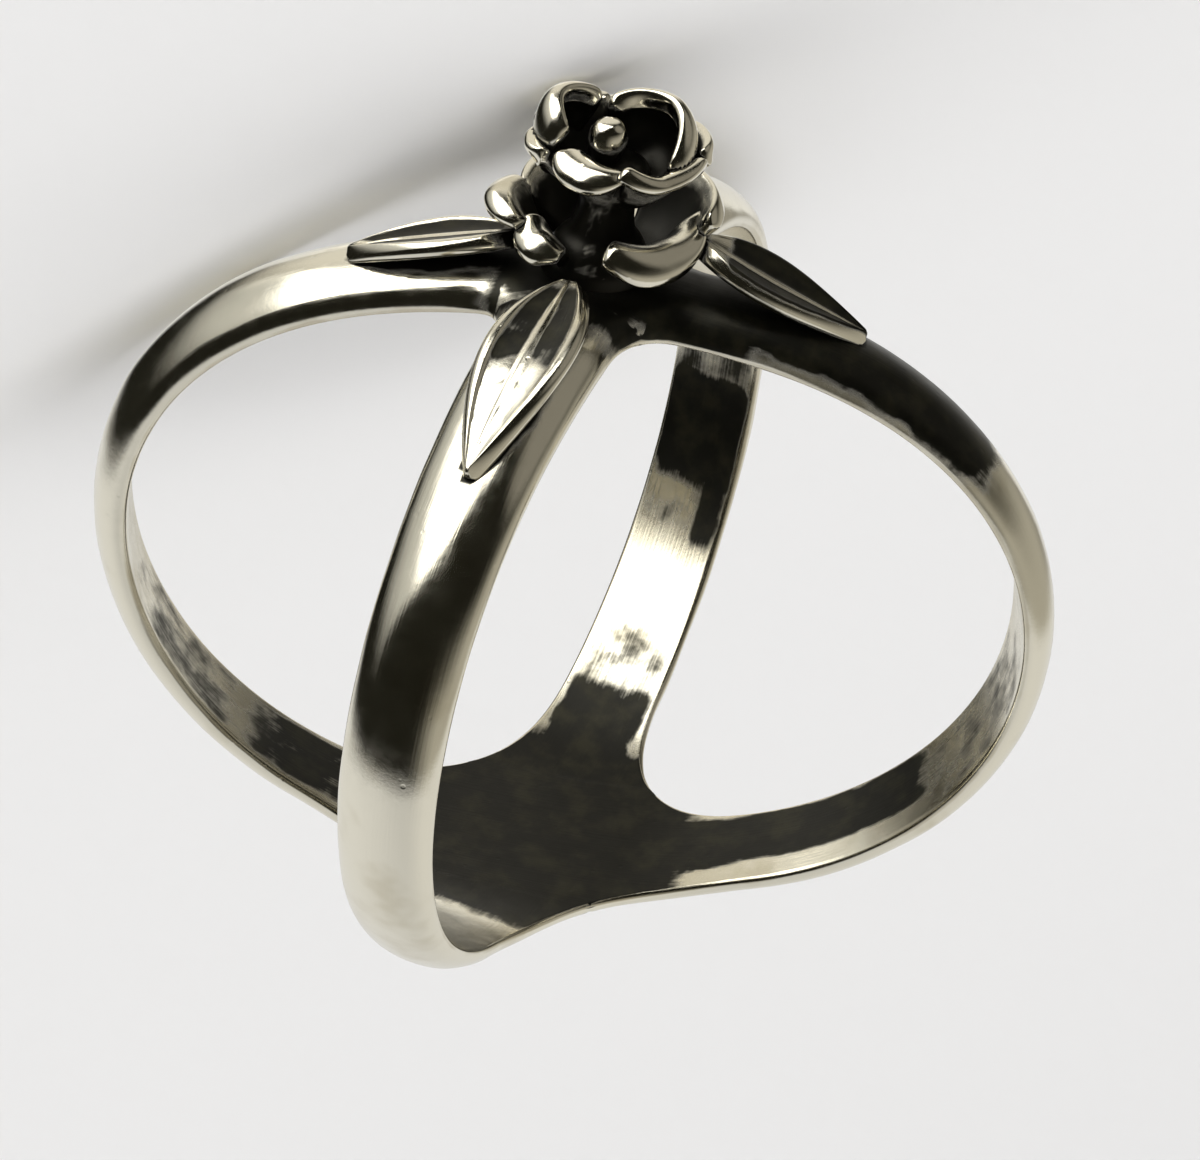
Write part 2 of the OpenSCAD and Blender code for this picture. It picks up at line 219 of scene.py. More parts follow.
# Shank: the two loops and their band, as in the CAD, in millimetres, degrees and shares
shank = {
    "holeR": 8.75, "loopAngle": 39.2, "sideSwell": 0.375, "upperSwell": 0.068,
    "shoulderFlat": 0.011, "upperFlat": 0.02, "uneven": {1: 0.063, -1: 0.029}, "twist": 11,
    "bandW": 2.79, "upperExtraW": 0.42, "lowerExtraW": 0.19,
    "bandT": 0.93, "upperExtraT": 0.12, "lowerWornT": 0.18,
    "edgeShare": 0.19, "bevel": 0.12, "bevelColumns": 4, "upperReach": 2.8, "lowerReach": 6.2,
    "patchTurn": 15, "patchDip": 0.16,  # turn whose thickness the crossings take, and how far their middle is sunk
    "zoneRows": 16, "freeRows": 76, "outerColumns": 25, "innerColumns": 13,
    "easeReach": 3.6, "easeFade": 1.2,  # where the upper crossing's outer face is smoothed over
}
# Arms in turn: loop, side of the finger and extra width
arms = [
    {"name": "right", "loop": -1, "side": 1, "extra": 0.08},
    {"name": "back", "loop": 1, "side": 1, "extra": -0.05},
    {"name": "left", "loop": -1, "side": -1, "extra": 0.04},
    {"name": "front", "loop": 1, "side": -1, "extra": -0.06},
]


def loopRadius(loop, turn):
    s, c, d = np.sin(turn), np.cos(turn), np.sin(2*turn)
    return shank["holeR"]*(1 + shank["sideSwell"]*s*s - shank["shoulderFlat"]*d*d + shank["upperSwell"]*c*s*s
                           - shank["upperFlat"]*c*d*d + shank["uneven"][loop]*s**3)


def loopAxes(loop):
    angle = math.radians(loop*shank["loopAngle"])
    return np.array([math.cos(angle), math.sin(angle), 0]), np.array([-math.sin(angle), math.cos(angle), 0])


def bandWidth(turn, extra):
    s, c = np.sin(turn), np.cos(turn)
    return (shank["bandW"] + extra*s*s + shank["upperExtraW"]*np.maximum(c, 0)**3
            + shank["lowerExtraW"]*np.maximum(-c, 0)**3)


def bandThick(turn):
    c = np.cos(turn)
    return shank["bandT"] + shank["upperExtraT"]*np.maximum(c, 0)**3 - shank["lowerWornT"]*np.maximum(-c, 0)**3


def bandPoint(loop, turn, s, h):
    along, across = loopAxes(loop)
    step = 1.7e-4  # a hundredth of a degree
    r, rNext = loopRadius(loop, turn), loopRadius(loop, turn + step)
    ax, az = r*np.sin(turn), r*np.cos(turn)
    dx, dz = rNext*np.sin(turn + step) - ax, rNext*np.cos(turn + step) - az
    size = np.hypot(dx, dz)
    dx, dz = dx/size, dz/size
    up = np.array([0, 0, 1.0])
    out = np.multiply.outer(-dz, along) + np.multiply.outer(dx, up)
    side = np.where(np.sin(turn) < 0, -1.0, 1.0)
    twist = -loop*math.radians(shank["twist"])*np.sin(turn)**2
    cosT, sinT = np.cos(twist)[..., None], (side*np.sin(twist))[..., None]
    s, h = np.asarray(s)[..., None], np.asarray(h)[..., None]
    return (np.multiply.outer(ax, along) + np.multiply.outer(az, up)
            + h*(cosT*out + sinT*across) + s*(cosT*across - sinT*out))


def turnFor(loop, side, reach, low):
    guess = np.zeros_like(reach)
    for _ in range(7):
        turn = side*(math.pi - guess if low else guess)
        guess = np.arcsin(reach/loopRadius(loop, turn))
    return side*(math.pi - guess if low else guess)


def sheetPoint(loop, p, h, low):
    along, across = loopAxes(loop)
    reach, s = p @ along, p @ across
    side = np.where(reach < 0, -1.0, 1.0)
    return bandPoint(loop, turnFor(loop, side, np.abs(reach), low), s, h)


def halfWidth(low):
    return (shank["bandW"] + shank["lowerExtraW" if low else "upperExtraW"])/2


def filletPoint(arm, edge, t, low):
    along, _ = loopAxes(arm["loop"])
    angle = math.radians(shank["loopAngle"])
    wide = edge*arm["loop"]*arm["side"] < 0
    a = arm["side"]*along
    corner = (np.array([np.sign(a[0])*halfWidth(low)/math.sin(angle), 0, 0]) if wide
              else np.array([0, np.sign(a[1])*halfWidth(low)/math.cos(angle), 0]))
    run = shank["lowerReach" if low else "upperReach"] - abs(corner @ a)
    other = np.array([a[0], -a[1], 0]) if wide else np.array([-a[0], a[1], 0])
    b = (1 - t)/2
    return corner + (1 - b)**2*run*a + b*b*run*other


def outerShares():
    half = np.linspace(0, 90, shank["outerColumns"]//2 + 1)
    side = np.sin(np.radians(half[1:]))
    return np.concatenate([-side[::-1], [0], side])


def innerShares(width):
    b = 2*shank["bevel"]/width
    edge = 1 - b*(1 - np.sin(np.radians(np.linspace(0, 90, shank["bevelColumns"] + 1))))
    count = shank["innerColumns"]//2
    inside = np.linspace(0, 1 - b, count + 1)[1:-1]
    side = np.concatenate([inside, [1 - 1.35*b], edge])
    return np.concatenate([-side[::-1], [0], side])


def outerHeight(thick, lift):
    return thick*mix(shank["edgeShare"], 1, lift)


def innerHeight(shares, width):
    b = 2*shank["bevel"]/width
    x = np.clip((np.abs(shares) - (1 - b))/b, 0, 1)
    return shank["bevel"]*(1 - np.sqrt(1 - x*x))


def crown(c):
    return np.sqrt(np.maximum(1 - c*c, 0))


def patchThick(low):
    return bandThick(np.array(math.radians(180 - shank["patchTurn"] if low else shank["patchTurn"])))


def patchGrid(outer, low):
    near, right = filletPoint(arms[0], -1, 0, low), filletPoint(arms[0], 1, 0, low)
    width = np.linalg.norm(right - near)
    shares = outerShares() if outer else innerShares(width)
    far, left = filletPoint(arms[2], 1, 0, low), filletPoint(arms[2], -1, 0, low)
    u, v = np.meshgrid((1 + shares)/2, (1 + shares)/2)
    u, v = u[..., None], v[..., None]
    p = mix(mix(near, right, u), mix(left, far, u), v)
    a, b = np.meshgrid(shares, shares)
    if outer:
        ca, cb = crown(a), crown(b)
        h = outerHeight(patchThick(low), (ca**4 + cb**4)**0.25*(1 - shank["patchDip"]*(ca*cb)**4))
    else:
        ha, hb = innerHeight(a, width), innerHeight(b, width)
        h = ha*hb/shank["bevel"]
    return (sheetPoint(1, p, h, low) + sheetPoint(-1, p, h, low))/2


def armRow(index, patch):
    return [patch[0], patch[:, -1], patch[-1], patch[:, 0]][index]


def zoneRow(arm, t, outer, low):
    loop, side = arm["loop"], arm["side"]
    reachEnd = shank["lowerReach" if low else "upperReach"]
    turn = turnFor(loop, side, np.array(reachEnd), low)
    shrink = mix(1, bandWidth(turn, arm["extra"])/(2*halfWidth(low)), t*t)
    near, far = filletPoint(arm, -1, t, low), filletPoint(arm, 1, t, low)
    width = np.linalg.norm(far - near)
    shares = outerShares() if outer else innerShares(width)
    p = mix(near, far, ((1 + shares)/2)[:, None])
    along, across = loopAxes(loop)
    q = np.multiply.outer(p @ along, along) + np.multiply.outer((p @ across)*shrink, across)
    thick = mix(patchThick(low), bandThick(turn), smooth(t))
    h = outerHeight(thick, crown(shares)) if outer else innerHeight(shares, width)
    return mix(sheetPoint(-loop, q, h, low), sheetPoint(loop, q, h, low), mix(0.5, 1, smooth(t)))


def freeRow(arm, t, outer):
    loop, side = arm["loop"], arm["side"]
    turn = mix(turnFor(loop, side, np.array(shank["upperReach"]), False),
               turnFor(loop, side, np.array(shank["lowerReach"]), True), t)
    width = bandWidth(turn, arm["extra"])
    shares = outerShares() if outer else innerShares(width)
    h = outerHeight(bandThick(turn), crown(shares)) if outer else innerHeight(shares, width)
    return bandPoint(loop, np.full_like(shares, turn), shares*width/2, h)


# Dark patches on the inner face of the band, and on the outer face where so marked: arm or None for all, turns from
# the top between which one lies, width of its soft ends, its depth, and unless it covers the whole width, the part
# from -1 to 1 that it covers. Inside the band they are partly real patina and partly painted dark reflection; on the
# outer face they are painted dark reflection.
stainsAndDarkReflections = [
    {"arm": None, "turns": (-20, 52), "soft": 14, "depth": 0.8},
    {"arm": None, "turns": (152, 200), "soft": 10, "depth": 0.92},
    {"arm": "back", "turns": (140, 165), "soft": 10, "across": (-0.92, 0.92), "depth": 0.9},
    {"arm": "back", "turns": (86, 94), "soft": 6, "across": (-0.85, 0.85), "depth": 0.6},
    {"arm": "back", "turns": (93, 108), "soft": 6, "across": (-0.85, 0.9), "depth": 1.1},
    {"arm": "back", "turns": (104, 117), "soft": 6, "across": (-0.9, -0.3), "depth": 0.85},
    {"arm": "back", "turns": (111, 116), "soft": 6, "across": (-0.4, 0.9), "depth": 0.5},
    {"arm": "back", "turns": (129, 146), "soft": 16, "across": (-0.9, 0.9), "depth": 0.52},
    {"arm": "left", "turns": (100, 130), "soft": 20, "across": (-0.9, 0.9), "depth": 0.52},
    {"arm": "left", "turns": (128, 165), "soft": 16, "across": (-0.9, 0.9), "depth": 0.75},
    {"arm": "right", "turns": (84, 118), "soft": 20, "across": (-0.9, 0.9), "depth": 0.45},
    {"arm": "right", "turns": (113, 165), "soft": 8, "across": (-0.45, 0.95), "depth": 0.95},
    {"arm": "right", "turns": (143, 165), "soft": 10, "across": (-0.62, 0), "depth": 0.9},
    # Painted dark reflection on the outer face: the top of the crossing and the right arm's top
    {"arm": None, "turns": (-20, 16), "soft": 12, "depth": 0.95, "outer": True},
    {"arm": "right", "turns": (-20, 61), "soft": 8, "across": (-1.04, 9), "depth": 0.95, "outer": True},
    {"arm": "right", "turns": (-20, 28), "soft": 14, "depth": 0.95, "outer": True},
]
wear = {"sideSoft": 0.3, "bevel": 0.8}  # soft sides of a dark patch, and how much of it the bevel has lost


def between(value, limits, soft):
    # 1 between the limits and 0 outside them, over soft ends
    return smooth((value - limits[0])/soft + 0.5)*smooth((limits[1] - value)/soft + 0.5)


def tarnishAndDarkReflectionAt(arm, turn, share, inner):
    depth = np.zeros(len(turn))
    for stainAndDarkReflection in stainsAndDarkReflections:
        if stainAndDarkReflection["arm"] in (None, arm):
            cover = between(turn, stainAndDarkReflection["turns"], stainAndDarkReflection["soft"])
            if "across" in stainAndDarkReflection:
                cover = cover*between(share, stainAndDarkReflection["across"], wear["sideSoft"])
            depth = np.maximum(depth, stainAndDarkReflection["depth"]*cover*(inner != stainAndDarkReflection.get("outer", False)))
    return depth


def shankPiece():
    points, faces, inner, bevel, armOf = [], [], [], [], []
    patches = {(outer, low): patchGrid(outer, low) for outer in (True, False) for low in (False, True)}
    zones, free = shank["zoneRows"], shank["freeRows"]
    for index, arm in enumerate(arms):
        rows = []
        for j in range(2*zones + free + 1):
            parts = []
            for outer in (True, False):
                if j == 0:
                    row = armRow(index, patches[outer, False])
                elif j == 2*zones + free:
                    row = armRow(index, patches[outer, True])
                elif j < zones:
                    row = zoneRow(arm, j/zones, outer, False)
                elif j > zones + free:
                    row = zoneRow(arm, (2*zones + free - j)/zones, outer, True)
                else:
                    row = freeRow(arm, (j - zones)/free, outer)
                parts.append(row if outer else row[::-1])
            rows.append(np.concatenate(parts))
        faces += gridFaces(sum(len(p) for p in points), len(rows), len(rows[0]), closed=True)
        points.append(np.concatenate(rows))
        column = np.arange(len(rows[0]))
        outerCount, edge = patches[True, False].shape[0], shank["bevelColumns"]
        atEdge = (column >= outerCount) & ((column < outerCount + edge) | (column >= len(column) - edge))
        inner.append(np.tile(column >= outerCount, len(rows)))
        bevel.append(np.tile(atEdge, len(rows)))
        armOf.append(np.full(len(points[-1]), index))
    for (outer, low), patch in patches.items():
        faces += gridFaces(sum(len(p) for p in points), *patch.shape[:2])
        points.append(patch.reshape(-1, 3))
        inner.append(np.full(patch.shape[0]*patch.shape[1], not outer))
        bevel.append(np.zeros(patch.shape[0]*patch.shape[1], bool))
        armOf.append(np.full(len(points[-1]), -1))
    points, inner, armOf = np.concatenate(points), np.concatenate(inner), np.concatenate(armOf)
    marks = {name: np.zeros(len(points)) for name in ("tarnishAndDarkReflection", "along", "across")}
    for index, arm in list(enumerate(arms)) + [(-1, arms[0])]:
        here = armOf == index
        along, across = loopAxes(arm["loop"])
        reach = points[here] @ along if index >= 0 else np.hypot(points[here, 0], points[here, 1])
        turn = np.degrees(np.arctan2(np.abs(reach), points[here, 2]))
        side = points[here] @ across
        name = arm["name"] if index >= 0 else None
        # Dark patches: partly real patina, partly painted dark reflection
        marks["tarnishAndDarkReflection"][here] = tarnishAndDarkReflectionAt(name, turn, side/(shank["bandW"]/2), inner[here])
        marks["along"][here], marks["across"][here] = np.radians(turn)*shank["holeR"], side
    marks["tarnishAndDarkReflection"] *= 1 - wear["bevel"]*np.concatenate(bevel)  # wear keeps the inner edges bright
    marks["inner"] = inner
    away = np.hypot(points[:, 0], points[:, 1])
    marks["crossing"] = smooth((shank["easeReach"] - away)/shank["easeFade"])*(points[:, 2] > 0)*(inner < 0.5)
    piece = meshPiece("shank", laid(points), faces, marks)
    weld(piece)
    return piece


def weld(piece):
    shape = bmesh.new()
    shape.from_mesh(piece.data)
    bmesh.ops.remove_doubles(shape, verts=shape.verts, dist=weldGap)
    bmesh.ops.recalc_face_normals(shape, faces=shape.faces)
    shape.to_mesh(piece.data)
    shape.free()
    piece.data.shade_smooth()


def applied(piece):
    evaluated = piece.evaluated_get(bpy.context.evaluated_depsgraph_get())
    mesh = bpy.data.meshes.new_from_object(evaluated)
    piece.modifiers.clear()
    piece.data = mesh
    return piece


# Recess: rays from each point, how far they look, how far off the surface they start, what a hit at full reach still
# counts, and what the foot of a petal and the stem add
recess = {"rays": 20, "reach": 2.2, "lift": 0.03, "farHit": 0.5, "petalFoot": 0.3, "stem": 0.3}


def addRecess(pieces):
    # How much of each point's outlook is closed off by metal nearby
    points, faces = [], []
    for piece in pieces:
        base = len(points)
        points += [v.co.copy() for v in piece.data.vertices]
        faces += [[base + i for i in polygon.vertices] for polygon in piece.data.polygons]
    near = BVHTree.FromPolygons(points, faces)
    golden = math.pi*(3 - math.sqrt(5))
    count, reach = recess["rays"], recess["reach"]*mm
    rays = []
    for k in range(count):
        up = math.sqrt(1 - (k + 0.5)/count)
        side = math.sqrt(1 - up*up)
        rays.append((side*math.cos(k*golden), side*math.sin(k*golden), up))
    for piece in pieces:
        mesh = piece.data
        co, normal = np.empty(len(mesh.vertices)*3), np.empty(len(mesh.vertices)*3)
        mesh.vertices.foreach_get("co", co)
        mesh.vertices.foreach_get("normal", normal)
        co, normal = co.reshape(-1, 3), normal.reshape(-1, 3)
        side = np.cross(normal, np.where(np.abs(normal[:, 2:]) < 0.8, [[0, 0, 1]], [[1, 0, 0]]))
        side /= np.linalg.norm(side, axis=1, keepdims=True) + 1e-12
        other = np.cross(normal, side)
        closed = np.zeros(len(co))
        origins = [Vector(p) for p in co + normal*recess["lift"]*mm]
        for ray in rays:
            ways = ray[0]*side + ray[1]*other + ray[2]*normal
            for i, (origin, way) in enumerate(zip(origins, ways)):
                distance = near.ray_cast(origin, way, reach)[3]
                if distance is not None:
                    closed[i] += 1 - (1 - recess["farHit"])*distance/reach
        closed = closed/count + (recess["stem"] if piece.name == "rose_core" else 0)
        if "depth" in mesh.attributes:
            depth = np.empty(len(co), np.float32)
            mesh.attributes["depth"].data.foreach_get("value", depth)
            closed += recess["petalFoot"]*depth
        mesh.attributes.new("recess", "FLOAT", "POINT").data.foreach_set("value", closed.astype(np.float32))


# Stem and bud, each turned from a profile of radius and height over the rose's seat
core = {
    "stem": [(0, -0.35), (1.3, -0.35), (1.39, 0.12), (1.25, 0.45), (1.08, 0.74), (0.83, 1.08), (0.73, 1.82),
             (0.96, 2.3), (0.96, 2.64), (0.8, 2.88), (0.49, 3.03), (0, 3.08)],
    "bud": [(0, 2.8), (0.3, 2.9), (0.46, 3.3), (0.5, 3.6), (0.43, 3.9), (0.25, 4.06), (0, 4.11)],
    "budAxis": (-0.34, 0.05), "grooveDepth": 0.04, "grooveRise": 0.9, "grooveWidth": 0.09,
}


def lathePiece(name, profile, axis=(0, 0), turns=64, groove=0.0):
    # Closed turned shape on the rose's leaning line, from its lowest to its highest point, with a spiral groove
    rows = []
    angles = np.arange(turns)*math.tau/turns
    for r, h in profile[1:-1]:
        off = (angles/math.tau + core["grooveRise"]*h) % 1 - 0.5
        wave = r*(1 - groove*np.exp(-(off/core["grooveWidth"])**2))
        rows.append(np.stack([axis[0] + wave*np.cos(angles) + rose["lean"]*h, axis[1] + wave*np.sin(angles),
                              np.full(turns, rose["seat"] + h)], -1))
    ends = [[[axis[0] + rose["lean"]*h, axis[1], rose["seat"] + h]] for h in (profile[0][1], profile[-1][1])]
    points = np.concatenate(rows + ends)
    last = len(rows)*turns
    faces = gridFaces(0, len(rows), turns, closed=True)
    faces += [(last, (i + 1) % turns, i) for i in range(turns)]
    faces += [(last + 1, last - turns + i, last - turns + (i + 1) % turns) for i in range(turns)]
    piece = meshPiece(name, laid(points), faces)
    weld(piece)
    return piece


def curved(profile, count=60):
    # Smooth line through the named points of a profile
    points = np.array(profile, float)
    last = len(points) - 1
    out = []
    for value in np.linspace(0, last, count):
        k = min(int(value), last - 1)
        f = value - k
        before, here, ahead, beyond = (points[min(max(k + d, 0), last)] for d in (-1, 0, 1, 2))
        out.append(0.5*(2*here + (ahead - before)*f + (2*before - 5*here + 4*ahead - beyond)*f*f
                        + (3*here - before - 3*ahead + beyond)*f**3))
    return [(max(r, 0), h) for r, h in out]


# Rose: each petal by the bearing of its middle and its half spread, the place of its own axis, the radius and height
# of base, belly, neck and rim, the rim's radius at both ends as a share, and in millimetres how much higher the rim
# and, in some, the crest inside it stand at both ends
rose = {"thick": 0.46, "lean": 0.09, "seat": 9.8, "rows": 34, "columns": 40, "droop": 0.16, "footSpread": 0.6,
        "roundEdge": (0.07, 0.14), "footThick": 0.8, "rimThick": 1.1}
plainPetal = {"axis": (0, 0), "ends": (1, 1), "rise": (0, 0)}  # where a petal does not say otherwise
petals = [
    {"name": "lower_left", "at": 148, "spread": 24, "base": (0.5, 0.1), "belly": (2.2, 0.2),
     "neck": (2.25, 2.4), "rim": (3.0, 1.3), "ends": (0.93, 0.88), "rise": (-0.2, -0.4)},
    {"name": "lower_front_left", "at": 183, "spread": 22, "base": (0.5, 0.1), "belly": (1.6, 0.1),
     "neck": (1.5, 1.95), "rim": (2.4, 0.7), "ends": (1.0, 0.95), "rise": (0.2, -0.35)},
    {"name": "lower_front_right", "at": -72, "spread": 49, "base": (0.5, 0.1), "belly": (1.5, 0.1),
     "neck": (1.65, 2.2), "rim": (2.5, 0.55), "ends": (0.97, 1.2), "rise": (0.0, 0.55), "crest": (0.35, -0.7)},
    {"name": "lower_right", "at": -2, "spread": 42, "base": (0.5, 0.1), "belly": (2.4, 0.2),
     "neck": (2.5, 1.7), "rim": (2.95, 1.9)},
    {"name": "lower_back", "at": 77, "spread": 54, "base": (0.5, 0.1), "belly": (2.2, 0.2),
     "neck": (2.4, 1.9), "rim": (3.0, 1.5), "ends": (1.0, 0.8), "rise": (0.0, -0.35)},
    {"name": "upper_front", "at": -164, "spread": 33, "axis": (0.25, -0.3), "base": (0.5, 2.1), "belly": (0.9, 2.3),
     "neck": (1.1, 3.95), "rim": (1.98, 2.8), "ends": (1.26, 0.78), "rise": (0.1, -0.15)},
    {"name": "upper_front_right", "at": -77, "spread": 42, "base": (0.4, 2.1), "belly": (1.5, 2.0),
     "neck": (1.5, 3.5), "rim": (1.85, 2.85), "ends": (0.85, 1.36), "rise": (0.15, 0.2), "crest": (0.5, 0.0)},
    {"name": "upper_right", "at": -12, "spread": 24, "base": (0.4, 2.1), "belly": (1.7, 2.2),
     "neck": (2.0, 3.4), "rim": (2.45, 3.35)},
    {"name": "upper_back_right", "at": 39, "spread": 34, "base": (0.4, 2.2), "belly": (1.7, 2.3),
     "neck": (1.9, 3.8), "rim": (2.4, 3.2), "rise": (0.1, -0.1)},
    {"name": "upper_back", "at": 99.5, "spread": 35, "base": (0.4, 2.2), "belly": (1.7, 2.3),
     "neck": (1.9, 3.8), "rim": (2.4, 3.2), "rise": (0.1, -0.1)},
    {"name": "upper_left", "at": 151, "spread": 20, "base": (0.4, 2.2), "belly": (1.6, 2.3),
     "neck": (1.8, 3.5), "rim": (2.3, 3.1)},
    {"name": "hood", "at": 121, "spread": 88, "axis": (-0.68, 0.75), "base": (0.3, 2.4), "belly": (1.3, 2.5),
     "neck": (1.22, 4.45), "rim": (0.6, 4.25), "ends": (1.0, 0.82), "rise": (-0.2, -0.45)},
    {"name": "inner_right", "at": 19, "spread": 98, "axis": (0.55, -0.25), "base": (0.3, 2.4), "belly": (1.5, 2.5),
     "neck": (1.35, 4.3), "rim": (0.75, 4.25), "rise": (-1.0, 0.0)},
]


def bend(a, b, c, d, t):
    t = t[..., None]
    return (1 - t)**3*np.array(a) + 3*t*(1 - t)**2*np.array(b) + 3*t*t*(1 - t)*np.array(c) + t**3*np.array(d)


def petalPoints(p, u, v):
    p = {**plainPetal, **p}
    reach = v*(1 - rose["droop"]*np.abs(u)**3)
    a = bend(p["base"], p["belly"], p["neck"], p["rim"], reach)
    start, end = np.maximum(-u, 0)**1.5*v, np.maximum(u, 0)**1.5*v
    r = a[..., 0]*(1 + (p["ends"][0] - 1)*start + (p["ends"][1] - 1)*end)
    h = a[..., 1] + p["rise"][0]*start + p["rise"][1]*end
    if "crest" in p:
        h = h + 4*(1 - v)*(p["crest"][0]*start + p["crest"][1]*end)
    bearing = np.radians(p["at"] + u*p["spread"]*mix(rose["footSpread"], 1, smooth(v)))
    x, y = p["axis"][0] + r*np.cos(bearing), p["axis"][1] + r*np.sin(bearing)
    return np.stack([x + rose["lean"]*h, y, rose["seat"] + h], -1)


def roundedSteps(count, edge, steps=6):
    inside = np.linspace(0, 1 - edge, count - steps)
    return np.concatenate([inside, 1 - edge + edge*np.sin(np.radians(np.linspace(0, 90, steps + 1)[1:]))])


def plumpness(t, edge):
    x = np.clip((np.abs(t) - (1 - edge))/edge, 0, 1)
    return np.sqrt(1 - x*x)


def petalPiece(p):
    edgeV, edgeU = rose["roundEdge"]
    v = roundedSteps(rose["rows"], edgeV)
    half = roundedSteps(rose["columns"]//2 + 1, edgeU)
    u = np.concatenate([-half[:0:-1], half])
    uu, vv = np.meshgrid(u, v)
    points = petalPoints(p, uu, vv)
    thick = mix(rose["footThick"], rose["rimThick"], smooth((vv - 0.5)/0.4))
    plump = plumpness(uu, edgeU)*plumpness(vv, edgeV)*thick
    return meshPiece(p["name"], laid(points.reshape(-1, 3)), gridFaces(0, len(v), len(u)),
                     {"plump": plump.ravel(), "depth": 1 - smooth((vv - 0.35)/0.6).ravel()})


def newTree(name, sizes):
    # Node group from one sheet of metal to a finished piece, with its sizes as named inputs
    tree = bpy.data.node_groups.new(name, "GeometryNodeTree")
    tree.interface.new_socket("Sheet", in_out="INPUT", socket_type="NodeSocketGeometry")
    for key, value in sizes.items():
        tree.interface.new_socket(key, in_out="INPUT", socket_type="NodeSocketFloat").default_value = value
    tree.interface.new_socket("Metal", in_out="INPUT", socket_type="NodeSocketMaterial")
    tree.interface.new_socket("Piece", in_out="OUTPUT", socket_type="NodeSocketGeometry")
    return tree, addNode(tree, "NodeGroupInput").outputs


def waveField(tree, given):
    # Unevenness left by the hammer and the file, from minus to plus half its depth
    place = addNode(tree, "GeometryNodeInputPosition")
    grain = calc(tree, "DIVIDE", 1.0, given["Wobble size"])
    noise = addNode(tree, "ShaderNodeTexNoise", {"Vector": place, "W": given["Seed"], "Scale": grain, "Detail": 1.0},
                    noise_dimensions="4D")
    level = calc(tree, "SUBTRACT", noise.outputs["Fac"], 0.5)
    return calc(tree, "MULTIPLY", level, given["Wobble depth"])


def finishTree(tree, geometry, metal):
    shaded = addNode(tree, "GeometryNodeSetShadeSmooth", {0: geometry})
    real = addNode(tree, "GeometryNodeRealizeInstances", {"Geometry": shaded})
    done = addNode(tree, "GeometryNodeSetMaterial", {"Geometry": real, "Material": metal})
    addNode(tree, "NodeGroupOutput", {0: done})


def thickenInTree(tree, given, wobble, relief=None):
    # Two faces either side of the sheet that close where "plump" falls to nothing at its edge
    caught = addNode(tree, "GeometryNodeCaptureAttribute", {"Geometry": given["Sheet"]})
    caught.capture_items.new("VECTOR", "Normal")
    tree.links.new(addNode(tree, "GeometryNodeInputNormal").outputs[0], caught.inputs["Normal"])
    half = calc(tree, "MULTIPLY", *named(tree, "plump"), given["Thickness"])
    joined = addNode(tree, "GeometryNodeJoinGeometry")
    for side in (0.5, -0.5):
        reach = calc(tree, "MULTIPLY_ADD", half, side, wobble)
        if side > 0 and relief is not None:
            reach = calc(tree, "ADD", reach, relief)
        normal = caught.outputs["Normal"]
        offset = addNode(tree, "ShaderNodeVectorMath", {0: normal, "Scale": reach}, operation="SCALE")
        moved = addNode(tree, "GeometryNodeSetPosition", {"Geometry": caught.outputs["Geometry"], "Offset": offset})
        if side < 0:
            moved = addNode(tree, "GeometryNodeFlipFaces", {"Mesh": moved})
        tree.links.new(moved.outputs[0], joined.inputs[0])
    welded = addNode(tree, "GeometryNodeMergeByDistance", {"Geometry": joined, "Distance": weldGap})
    finishTree(tree, welded, given["Metal"])


def petalTree():
    tree, given = newTree("petal", {
        "Thickness": 0.46*mm, "Wobble depth": 0.03*mm, "Wobble size": 1.1*mm, "Seed": 3.0})
    thickenInTree(tree, given, waveField(tree, given))
    return tree


def leafTree():
    # Veins in a herringbone from a raised midrib and a raised border, on the upper face only
    tree, given = newTree("leaf", {
        "Thickness": 0.45*mm, "Wobble depth": 0.012*mm, "Wobble size": 1.0*mm, "Seed": 5.0,
        "Veins": 7.0, "Vein slant": 0.13, "Vein depth": 0.008*mm,
        "Rib height": 0.045*mm, "Rib width": 0.1, "Border height": 0.03*mm})
    along, across, plump = named(tree, "along", "across", "plump")
    away = calc(tree, "ABSOLUTE", across)
    # Pillows between the veins, flat at the midrib, the border and both ends
    slant = calc(tree, "MULTIPLY", away, given["Vein slant"])
    wave = calc(tree, "SUBTRACT", along, slant)
    turns = calc(tree, "MULTIPLY", given["Veins"], math.pi)
    for operation, other in (("MULTIPLY", turns), ("SINE", 0.0), ("ABSOLUTE", 0.0), ("POWER", 0.55),
                             ("SUBTRACT", 1.0), ("MULTIPLY", given["Vein depth"])):
        wave = calc(tree, operation, wave, other)
    for value, low, high in ((away, 0.05, 0.2), (away, 0.97, 0.78), (along, 0.02, 0.12), (along, 0.97, 0.85)):
        wave = calc(tree, "MULTIPLY", wave, ramp(tree, value, low, high))
    # The midrib's section is a bell that runs out towards the tip
    bell = away
    for operation, other in (("DIVIDE", given["Rib width"]), ("POWER", 2.0), ("MULTIPLY", -1.0), ("EXPONENT", 0.0)):
        bell = calc(tree, operation, bell, other)
    rib = calc(tree, "MULTIPLY", bell, ramp(tree, along, 0.99, 0.7))
    border = calc(tree, "MULTIPLY", ramp(tree, away, 0.7, 0.86), plump)
    relief = wave
    for part, height in ((rib, "Rib height"), (border, "Border height")):
        relief = calc(tree, "MULTIPLY_ADD", part, given[height], relief)
    thickenInTree(tree, given, waveField(tree, given), relief)
    return tree


